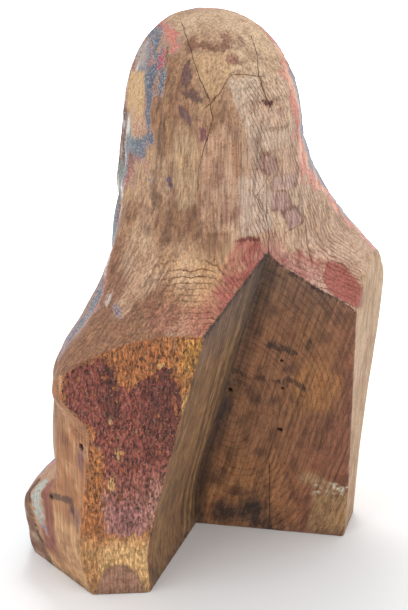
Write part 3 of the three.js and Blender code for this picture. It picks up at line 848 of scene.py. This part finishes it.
# Painted shade on the left wall: a dark strip along the notch's inner corner
crisp_tint(3 - right_wall + 3 * ragged[:, 1], "#33251C", 0.75, on_left_wall)
for corners, code, strength in (
    (((80, 517), (75, 519), (68, 508), (71, 498), (78, 497), (83, 506)), "#573A3E", 0.75),
    (((79, 496), (63, 497), (54, 491), (57, 487), (68, 490), (77, 491)), "#543A36", 0.8),
    (((80, 483), (71, 482), (64, 472), (66, 467), (77, 475)), "#5A4048", 0.75),
    (((57, 467), (51, 467), (50, 457), (56, 454)), "#6E3A46", 0.8),
    (((30, 525), (16, 526), (17, 520), (29, 518)), "#86504A", 0.7),
    (((3, 489), (-8, 486), (-4, 482), (2, 484)), "#5E262A", 0.95),
    (((90, 417), (84, 417), (81, 408), (86, 407)), "#4C4460", 0.8),
    (((70, 528), (63, 533), (40, 532), (26, 534), (19, 530), (40, 527)), "#6B4231", 0.8),
    (((96, 530), (80, 536), (66, 530), (80, 522)), "#774C38", 0.75),
    (((30, 538), (14, 539), (10, 533), (26, 532)), "#7C5040", 0.7),
    (((8, 536), (-4, 537), (0, 529), (10, 530)), "#6E4F40", 0.6),
    (((98, 470), (93, 474), (91, 440), (96, 420)), "#5A4335", 0.6),
    (((106, 420), (101, 424), (94, 396), (98, 380)), "#5E4536", 0.6),
    (((46, 440), (38, 446), (36, 425), (44, 418)), "#835A48", 0.5),
    (((40, 400), (34, 404), (33, 382), (39, 378)), "#8A5A4C", 0.5),
    (((14, 458), (8, 460), (7, 446), (13, 444)), "#9A7566", 0.5),
    (((28, 363), (18, 366), (6, 360), (6, 356), (17, 361), (27, 358)), "#6B2F2B", 0.8),
    (((34, 470), (28, 474), (24, 462), (31, 458)), "#8C6654", 0.5),
    (((48, 425), (42, 430), (40, 415), (46, 410)), "#8A6250", 0.5),
    (((32, 392), (24, 396), (22, 386), (30, 380)), "#8C5C50", 0.5),
    (((72, 440), (68, 444), (66, 424), (70, 418)), "#8A6A4A", 0.5),
    (((110, 488), (106, 492), (104, 476), (108, 470)), "#5F483A", 0.6),
    (((103, 460), (98, 464), (97, 438), (101, 430)), "#644A38", 0.6),
    (((-10, 478), (-18, 480), (-19, 470), (-11, 468)), "#A07A70", 0.5),
    (((96, 500), (90, 504), (88, 486), (94, 480)), "#664A38", 0.5),
    (((60, 392), (55, 394), (54, 368), (60, 364)), "#6E4A3C", 0.55),
    (((86, 384), (80, 390), (76, 366), (83, 358)), "#6A4C3E", 0.5),
):
    crisp_tint(behind_head * 12 - 12 + inside(round_head, z, corners), code, strength)

# Paint that is left: a coral red ground under grey-blue on the veil and mantle, flesh on the
# face, red on the bodice and ochre on the hem. It stops in a ragged line at the sides.
opening = opening_depth(x, y, z)
rim_left = curve(
    (0, -58), (120, -58), (170, -46), (236, -30), (262, 6), (290, 22), (320, 10), (345, -6),
    (365, -14), (390, -18), (415, -8), (430, 6), (460, 2), (490, -6), (510, -16), (530, -34),
    (547, -50),
)(z)
rim_right = curve(
    (0, 40), (240, 60), (300, 80), (330, 64), (360, 64), (400, 82), (440, 86), (480, 84), (500, 74),
    (520, 58), (535, 34), (547, 0),
)(z)
rim = np.where(x > 0, rim_left, rim_right)
rim = np.where(np.abs(x) < 30, rim_left + (rim_right - rim_left) * ramp(30, -30, x), rim)
ahead = rim - y + 5 * noise(at, (9, 9, 22), 81) + 3 * noise(at, (4, 4, 9), 82)
bare = np.clip(on_left_end + on_right_end + in_notch + on_left_side + on_right_side, 0, 1)
outside = (opening < 0.5) * (1 - bare)
worn = 0.28 * ramp(1, 4, folds(x, y, z)) + 0.2 * noise(at, (30, 30, 40), 83)
coral_rim = ramp(-2, 2, ahead) * ramp(14, 9, ahead) * (x < 0)
grey_rim = ramp(9, 13, ahead) * ramp(32, 24, ahead) * (x < 0) * ramp(250, 290, z)
hem_height = ramp(60, 110, z) * ramp(540, 530, z)
for mask, code in (
    (ramp(-3, 7, ahead) * np.clip(0.8 - worn, 0, 1), "#6B747C"),
    (0.7 * grey_rim * ramp(0.25, 0.6, spots), "#97949C"), (0.72 * coral_rim, "#CC8570"),
    (0.75 * coral_rim * ramp(0.5, 0.7, spots), "#E3AC90"),
    (0.6 * ramp(-3, 3, ahead) * ramp(9, 5, ahead) * (x > 0), "#A8685E"),
    (0.78 * ramp(-13, -9, opening) * hem_height, "#8E5A4A"),
    (0.7 * bell(opening + 14, 2.2) * hem_height, "#D3CCC2"),
):
    lay(outside * mask, code)
chipped = 0.3 * noise(at, (6, 6, 10), 85) + 0.2 * noise(at, (2.5, 2.5, 4), 86)
for path, width, code, strength in (
    (((27, -40, 531), (34, -24, 531), (39, -6, 529), (45, 8, 525)), 8, "#BE6A55", 0.66),
    (((34, -36, 525), (46, -21, 519), (53, -5, 512), (58, 3, 503)), 9, "#565E6B", 0.7),
    (((58, -6, 501), (65, 0, 486), (70, 4, 470), (73, 8, 453), (75, 9, 444)), 7.5, "#525B69", 0.74),
    (((57, 4, 504), (60, 11, 497), (63, 16, 488), (64, 12, 484)), 6, "#55606B", 0.68),
    (((74, 2, 444), (76, 3, 434), (77, 4, 424)), 6.5, "#59616F", 0.72),
    (((46, -2, 517), (52, 4, 511), (52, -4, 512), (56, 1, 505)), 2.5, "#A84450", 0.75),
    (((47, -40, 508), (53, -34, 503)), 8, "#9C948C", 0.6),
    (((70, -37, 458), (72, -37, 430), (73, -38, 405)), 5, "#6A453F", 0.72),
    (((73, -38, 402), (77, -34, 386), (84, -26, 376)), 6, "#6C7069", 0.6),
    (((78, -14, 416), (82, -6, 398)), 6, "#8C5A4C", 0.5),
    (((87, -22, 372), (93, -14, 358)), 5, "#74483F", 0.65),
    (((78, 12, 424), (79, 15, 416)), 3, "#C98E68", 0.7),
    (((79, 18, 410), (78, 20, 402)), 2.5, "#566076", 0.7),
    # Painted highlight: a thin white line along the veil's edge on the left, where its sharp edge
    # catches the light
    (((55, -44, 497), (66, -40, 470), (69, -38, 452), (72, -34, 425), (77, -26, 400), (87, -20, 374),
      (95, -13, 353), (108, 3, 336), (120, 6, 316)), 1.6, "#D8D4CE", 0.68),
    (((141, 23, 296), (136, 26, 301)), 3.5, "#5F6478", 0.72),
    (((129, 40, 309), (134, 56, 303)), 3, "#6A6674", 0.64),
    (((126, 24, 313), (132, 28, 308)), 5, "#B9B4AE", 0.55),
    (((156, 1, 263), (163, -4, 248), (158, 4, 266)), 9, "#6F6672", 0.66),
    (((172, -36, 60), (173, -30, 44)), 6, "#75707C", 0.6),
):
    gap = stroke(moved, *path) / width + chipped
    lay(np.clip(1.4 - gap, 0, 1) * strength * (1 - bare * (z > 100)), code)
ochre = inside(round_head, z, ((176, 492), (148, 498), (134, 482), (126, 461), (118, 450), (132, 440),
                               (149, 440), (163, 459), (170, 476)))
lay(ramp(-2, 3, ochre) * behind_head * 0.72, "#C29B6A")
lay(ramp(0, 3, ochre) * ramp(470, 445, z) * behind_head * 0.72, "#B5896B")

# The open end of the rolled edge at the left: brown lip, a groove drawn as a near-black line of
# painted shade, and a white-painted hollow
leaning = y + 0.2 * (z - 76)
lip = np.hypot((leaning + 41) / 10, (z - 75) / 21)
by_lip = (x > 160) * ramp(122, 112, z)
curl = by_lip * ramp(-51, -53, leaning)
lay(by_lip * ramp(1.15, 0.95, lip) * (0.66 + 0.25 * ragged[:, 0]), "#A3A59A")
tint(by_lip * ramp(1.0, 1.3, lip) * ramp(3.2, 2.2, lip) * ramp(-42, -34, y), "#8B5445")
tint(curl, "#7C5742")
tint(0.7 * curl * ramp(0.45, 0.7, spots), "#B0917A")
# Painted shade: the groove between the lip and the hollow, a near-black line
crisp_tint(by_lip * 20 - 20 + 1.8 - np.abs(leaning + 53) + ragged[:, 0], "#2E2420", 0.9)

# Face, hair and bodice
within = ramp(0.6, 1.4, opening) * (1 - in_notch)
oval, turn = hair_place(x, z)
neckline = neckline_height(x)
is_hair = ramp(0.95, 0.99, oval) * (z > 378)
is_flesh = within * (1 - is_hair) * ramp(neckline, neckline + 3, z)
is_dress = within * ramp(neckline + 2, neckline - 2, z)
patchy = 0.16 * noise(at, (20, 20, 26), 84)
lay(is_flesh * (0.8 + patchy - 0.12 * bell(x, 9) * bell(z - 415, 14)), "#D3A888")
lay(is_flesh * (0.62 + patchy) * bell(np.abs(x) - 34, 15) * bell(z - 414, 15), "#CE937C")
lips = np.hypot(x / 16, (z - MOUTH_Z + 0.4) / 6.5)
lay(is_flesh * 0.8 * ramp(1.1, 0.9, lips), "#A85A52")
lay(is_flesh * 0.75 * ramp(1.05, 0.9, np.hypot((np.abs(x) - 28) / 13, (z - 447) / 5.5)), "#C39A80")
lay(within * is_hair * (0.78 + patchy), "#5C3F2C")
lay(is_dress * (0.74 + patchy), "#A6493D")
lay(is_dress * 0.85 * bell(z - neckline + 6, 5), "#B88A45")

# `finish` marks the rough end, the folds on the left shoulder, the left side and the notch's walls.
# `marks` holds the millimetres beyond the nearest hole and the nearest edge of a broad cut, and the
# count of growth rings. They lie round a pith far in front of the block and to its right, wander a
# little and turn down beside the notch.
RING_GAP, KNOT_RING_GAP = 3.6, 5.2
PITH = (-350, -580)
finish = np.stack([
    on_left_end * ramp(0.98, 1.04, foot) * (0.55 + 0.45 * ramp(50, 110, z)),
    (1 - bare) * ramp(372, 340, z) * ramp(66, 84, x) * ramp(-20, 10, y),
    on_left_side,
    in_notch * (1 - on_left_end),
], 1)
marks = np.zeros((count, 4))
marks[:, 0] = beyond_holes(at)
plain = np.clip(bare + ramp(500, 530, z) + ramp(30, 0, y), 0, 1)
blurred = 0.6 * noise(at, (7, 7, 7), 95) + 0.8 * noise(at, (20, 20, 20), 91)
marks[:, 1] = facet_edge + 9 * plain + blurred
tilt = curve((0, 0), (300, 36), (350, 38), (385, 33), (547, 0))
from_pith = np.hypot(x - PITH[0], y - PITH[1]) + tilt(z)
from_pith += 5 * noise(at, (60, 60, 130), 96) + 1.3 * noise(at, (17, 17, 40), 97)
from_pith += 0.6 * noise(at, (8, 8, 12), 98)
marks[:, 2] = from_pith / RING_GAP - pared / 8
# The head's lines are straight, and those on the dark wall run round a knot and are wider apart
parting = z + 6 * wobble[:, 0] - 350
upper = (parting > 0) * (y > 10)
head_lines = (x - 0.36 * (z - 400) + 0.12 * y + 1.6 * noise(at, (50, 50, 90), 101)) / RING_GAP
round_knot = np.hypot(0.69 * y - 0.72 * x - 26, 0.62 * (z - 150)) + 4 * noise(at, (40, 40, 40), 102)
marks[:, 2] = np.where(upper, head_lines, marks[:, 2])
marks[:, 2] = np.where(on_right_wall, round_knot / KNOT_RING_GAP, marks[:, 2])
# They fade out where one run of lines meets another, on the head's left and in the notch's corner
on_head = 1.6 * ramp(26, 10, x) * ramp(522, 500, z)
below_head = ramp(20, 30, y + 30 * in_notch)
from_corner = np.minimum(np.abs(right_wall), 30) + 9 * (1 - in_notch)
ground[:, 3] *= ramp(0, 5, np.abs(parting)) * ramp(0, 4, np.abs(y - 10) + 5 * (parting < 0))
ground[:, 3] *= np.where(upper, on_head, below_head) * (ramp(1, 4, from_corner) + on_right_wall)


def crack_field(lines):
    # Signed distance to the nearest crack, in widths, and 1 along it but 0 past its ends
    nearest = np.full(count, 1e9)
    signed = np.zeros(count)
    for path, width in lines:
        path = np.array(path, float)
        for a, b in zip(path[:-1], path[1:]):
            off = off_line(at, a, b)
            away = np.linalg.norm(off, axis=1)
            sideways = np.cross(b - a, facing)
            sideways = sideways / np.maximum(np.linalg.norm(sideways, axis=1), 1e-6)[:, None]
            closer = away < nearest
            signed = np.where(closer, (off * sideways).sum(1) / width, signed)
            nearest = np.where(closer, away, nearest)
    jitter = 1.4 * noise(at, (7, 7, 7), 99)
    return signed + jitter, ramp(7, 2, nearest)


split = np.stack([*crack_field(cracks), *crack_field(branches)], 1)
widths, reach = beyond_face_lines(at)
on_face = (opening > 2) & (reach > 0)
split[on_face, 2:] = np.stack([widths, reach], 1)[on_face]
layers = dict(ground=ground, stain_and_shade=stain_and_shade, paint_and_highlight=paint_and_highlight, finish=finish, marks=marks, split=split)
for name, values in layers.items():
    layer = mesh.color_attributes.new(name, "FLOAT_COLOR", "POINT")
    layer.data.foreach_set("color", values.ravel())

# The wood's surface: old pine, cut with gouge and saw and darkened by handling, so it is matt,
# and late growth shows as thin dark lines. Tempera on gesso lies on it in flakes.
pine = bpy.data.materials.new("old_pine_and_worn_tempera")
pine.use_nodes = True
tree = pine.node_tree
shader = tree.nodes["Principled BSDF"]


def add(kind, *sources, **settings):
    # Adds a node. The sources go to its sockets in their order, settings that start with a capital
    # to the socket of that name, and the rest to the node. A node stands for its first output.
    node = tree.nodes.new("ShaderNode" + kind)
    for name, value in settings.items():
        if name[0].islower():
            setattr(node, name, value)
    wires = list(zip([s for s in node.inputs if s.enabled], sources))
    wires += [(node.inputs[name], value) for name, value in settings.items() if name[0].isupper()]
    for socket, value in wires:
        if isinstance(value, bpy.types.Node):
            value = next(s for s in value.outputs if s.enabled)
        if isinstance(value, str):
            value = (*colour(value), 1)
        if isinstance(value, bpy.types.NodeSocket):
            tree.links.new(value, socket)
        else:
            socket.default_value = value
    return node


spot = add("TexCoord")
place = add("Mapping", spot.outputs["Object"], Scale=(1000,) * 3, Location=(*BOX_MIDDLE, 0))
ground_layer, stain_and_shade_layer, paint_and_highlight_layer, finish_layer, marks_layer, split_layer = (
    add("Attribute", attribute_name=name) for name in layers
)
rough_end, fold_face, side_face = add("SeparateColor", finish_layer).outputs
hole_gap, edge_gap, ring_count = add("SeparateColor", marks_layer).outputs
crack_gap, crack_along, branch_gap = add("SeparateColor", split_layer).outputs
branch_along = split_layer.outputs["Alpha"]

# The patterns, in millimetres: first those that follow the fibre, with their width, length and
# lean. In turn the frayed edges of the stains and of the painted shade, the fibres of the log, the
# torn strands of the rough end, the chisel's strokes along the slope of the notch's walls and those
# down the left shoulder.
fray, fibre, strand, scored, drawn = (
    add(
        "TexNoise",
        add(
            "Mapping", place, Rotation=np.radians(lean), Scale=(wide, wide, long),
            vector_type="TEXTURE",
        ),
        Scale=1, Detail=detail, Roughness=roughness,
    )
    for wide, long, lean, detail, roughness in (
        (2.5, 1 / 0.12, (0, 0, 0), 6, 0.8), (2, 50, (0, 0, 0), 6, 0.78),
        (1 / 0.48, 1 / 0.16, (0, 0, 0), 6, 0.74), (3, 80, (-22, 0, 0), 6, 0.75),
        (2.4, 110, (0, -38, 0), 4, 0.6),
    )
)
# Then those that are round: flaking paint, wavy rings, broad patches, grime and specks
flake, fine, broad, grime, speck = (
    add("TexNoise", place, Scale=1 / size, Detail=detail, Roughness=roughness)
    for size, detail, roughness in (
        (4, 5, 0.85), (4, 3, 0.6), (22, 3, 0.6), (9, 6, 0.75), (1.7, 2, 0.6),
    )
)

# Stains and painted shade, with edges broken up by the grain
crisp_reach = add("Math", fray, 16, stain_and_shade_layer.outputs["Alpha"], operation="MULTIPLY_ADD")
crisp_share = add("MapRange", crisp_reach, 7.2, 8.6)
wood = add("Mix", crisp_share, ground_layer, stain_and_shade_layer, data_type="RGBA")

# Growth rings: a thin dark line of late growth at each whole number of the count
count_here = add("Math", fine, 0.5, ring_count, operation="MULTIPLY_ADD")
wave = add("Math", count_here, 0.5, operation="PINGPONG")
late = add("MapRange", wave, 0, 0.19, 1, 0, interpolation_type="SMOOTHSTEP")
plainly = add("MapRange", broad, 0.38, 0.6, 0.25)
for share in (plainly, ground_layer.outputs["Alpha"]):
    late = add("Math", late, share, operation="MULTIPLY")

# The fibres' shades, and on the notch's walls the strokes of the chisel
shade = add("MapRange", fibre, 0.36, 0.64, 0.52, 1.56)
scored = add("MapRange", scored, 0.38, 0.6, 0.56, 1.32)
worked = add("Mix", finish_layer.outputs["Alpha"], shade, scored, data_type="RGBA")
drawn = add("MapRange", drawn, 0.36, 0.62, 0.62, 1.24)
# Torn fibre on the rough end: painted shade in the pits between the strands and painted light on
# the strands, and painted glints on their tips
pit_shade = add("MapRange", strand, 0.4, 0.61, 0.14, 1.78)
tip_glints = add("MapRange", speck, 0.63, 0.7, 0, 0.6)
tip_glints = add("Math", tip_glints, rough_end, operation="MULTIPLY")
# Level marks of the saw on the left side, 2.6 mm apart
level_lines = add(
    "TexWave", place, Scale=2 * math.pi / 20 / 2.6, Distortion=4, Detail=3, wave_type="BANDS",
    bands_direction="Z",
)
saw = add("MapRange", level_lines.outputs["Fac"], 0, 1, 0.7, 1.16)
# Grime in patches and specks, and painted shade along the edges of the gouge's broad cuts
soil = add("MapRange", grime, 0.5, 0.68, 0, 0.8)
dots = add("MapRange", speck, 0.58, 0.7, 0, 0.65)
ledge = add("MapRange", edge_gap, 0.2, 1.6, 0.65, 0)
for share, tone in (
    (late, "#8A6A54"), (1, worked), (soil, "#CFB6A8"), (dots, "#A4826C"), (ledge, "#8C6552"),
    (fold_face, drawn), (rough_end, pit_shade), (side_face, saw),
):
    wood = add("Mix", share, wood, tone, data_type="RGBA", blend_type="MULTIPLY")
wood = add("Mix", tip_glints, wood, "#D2B49A", data_type="RGBA")

# Flaking paint: top coat, then the coral ground at its edge, then white gesso, then bare wood
chip = add("MapRange", flake, 0.25, 0.75, -0.5, 0.5)
cover = add("Math", paint_and_highlight_layer.outputs["Alpha"], chip, operation="ADD")
gesso, coral, coat = (
    add("MapRange", cover, *levels) for levels in ((0.36, 0.42), (0.43, 0.48), (0.5, 0.56))
)
top_coat = add("Mix", 0.6, paint_and_highlight_layer, shade, data_type="RGBA", blend_type="MULTIPLY")
sooty = add("MapRange", speck, 0.34, 0.44, 0.55, 0)
top_coat = add("Mix", sooty, top_coat, "#8A7F7C", data_type="RGBA", blend_type="MULTIPLY")
chalky = add("MapRange", speck, 0.54, 0.64, 0, 0.45)
top_coat = add("Mix", chalky, top_coat, "#D5D0CA", data_type="RGBA")

# Drying cracks and holes, near-black where the wood has parted, and the face's painted lines
faint = add("MapRange", broad, 0.4, 0.56, 0.5, 0.92)
parted = add("MapRange", hole_gap, -0.3, 0.4, 1, 0)
for gap, length in ((crack_gap, crack_along), (branch_gap, branch_along)):
    line = add("Math", gap, operation="ABSOLUTE")
    line = add("MapRange", line, 0.1, 0.95, 1, 0)
    for share in (length, faint):
        line = add("Math", line, share, operation="MULTIPLY")
    parted = add("Math", parted, line, operation="MAXIMUM")

skin = wood
for share, tone in ((gesso, "#C4B9AC"), (coral, "#AE6355"), (coat, top_coat), (parted, "#38231A")):
    skin = add("Mix", share, skin, tone, data_type="RGBA")
polish = add("MapRange", coral, 0, 1, 0.74, 0.55)
strands = add("Math", strand, rough_end, operation="MULTIPLY")
height = add("Math", fibre, 0.6, operation="MULTIPLY")
for part, rise in ((late, -0.3), (gesso, 0.35), (parted, -2), (strands, 3)):
    height = add("Math", part, rise, height, operation="MULTIPLY_ADD")
bump = add("Bump", Height=height, Distance=0.0006, Strength=0.8)
for node, name in ((skin, "Base Color"), (polish, "Roughness"), (bump, "Normal")):
    tree.links.new(next(s for s in node.outputs if s.enabled), shader.inputs[name])

mesh.materials.clear()
mesh.materials.append(pine)
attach(bust, "root")
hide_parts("bust")

# The table
# A wide sheet of matt white board under the bust.
floor_mesh = bpy.data.meshes.new("table")
TABLE_RADIUS = 9
turns = np.radians(np.arange(0, 360, 5))
round_edge = TABLE_RADIUS * np.stack([np.cos(turns), np.sin(turns), 0 * turns], 1)
floor_mesh.from_pydata(round_edge.tolist(), [], [list(range(len(turns)))])
table = bpy.data.objects.new("table", floor_mesh)
bpy.context.scene.collection.objects.link(table)
board = bpy.data.materials.new("matt_white_board")
board.use_nodes = True
board_shader = board.node_tree.nodes["Principled BSDF"]
board_shader.inputs["Base Color"].default_value = (*colour("#EFF0F1"), 1)
board_shader.inputs["Roughness"].default_value = 0.9
floor_mesh.materials.append(board)

# Light and camera
# A bright white surround, a large soft lamp over the camera's left, a weaker one on its right, and
# a hooded lamp that hangs over the far table and burns the background out to white. The camera
# looks down 25 degrees from behind the figure's left shoulder.
world = bpy.data.worlds.new("surround")
bpy.context.scene.world = world
world.use_nodes = True
sky = world.node_tree.nodes["Background"]
sky.inputs["Color"].default_value = (1, 1, 1, 1)
sky.inputs["Strength"].default_value = 0.91

for name, size, hood, power, position, aim in (
    ("lamp_left", 1.8, 180, 15, (1.9, 0.2, 1.9), (0, 0, 0.28)),
    ("lamp_right", 1.8, 180, 10, (-0.9, 2.3, 1.6), (0, 0, 0.28)),
    ("lamp_far", 1.4, 75, 40, (-1.0, -1.5, 2.5), (-1.0, -1.5, 0)),
):
    lamp = bpy.data.objects.new(name, bpy.data.lights.new(name, "AREA"))
    lamp.data.size = size
    lamp.data.spread = math.radians(hood)
    lamp.data.energy = power
    lamp.location = position
    lamp.rotation_euler = (Vector(aim) - lamp.location).to_track_quat("-Z", "Y").to_euler()
    bpy.context.scene.collection.objects.link(lamp)

camera = bpy.data.objects.new("camera", bpy.data.cameras.new("camera"))
camera.data.lens = 113
camera.data.sensor_width = 36
camera.location = (0.9358, 1.3845, 1.0357)
look = Vector((0.0235, 0.0320, 0.275)) - camera.location
camera.rotation_euler = look.to_track_quat("-Z", "Y").to_euler()
bpy.context.scene.collection.objects.link(camera)
bpy.context.scene.camera = camera
bpy.context.scene.view_settings.view_transform = "Standard"
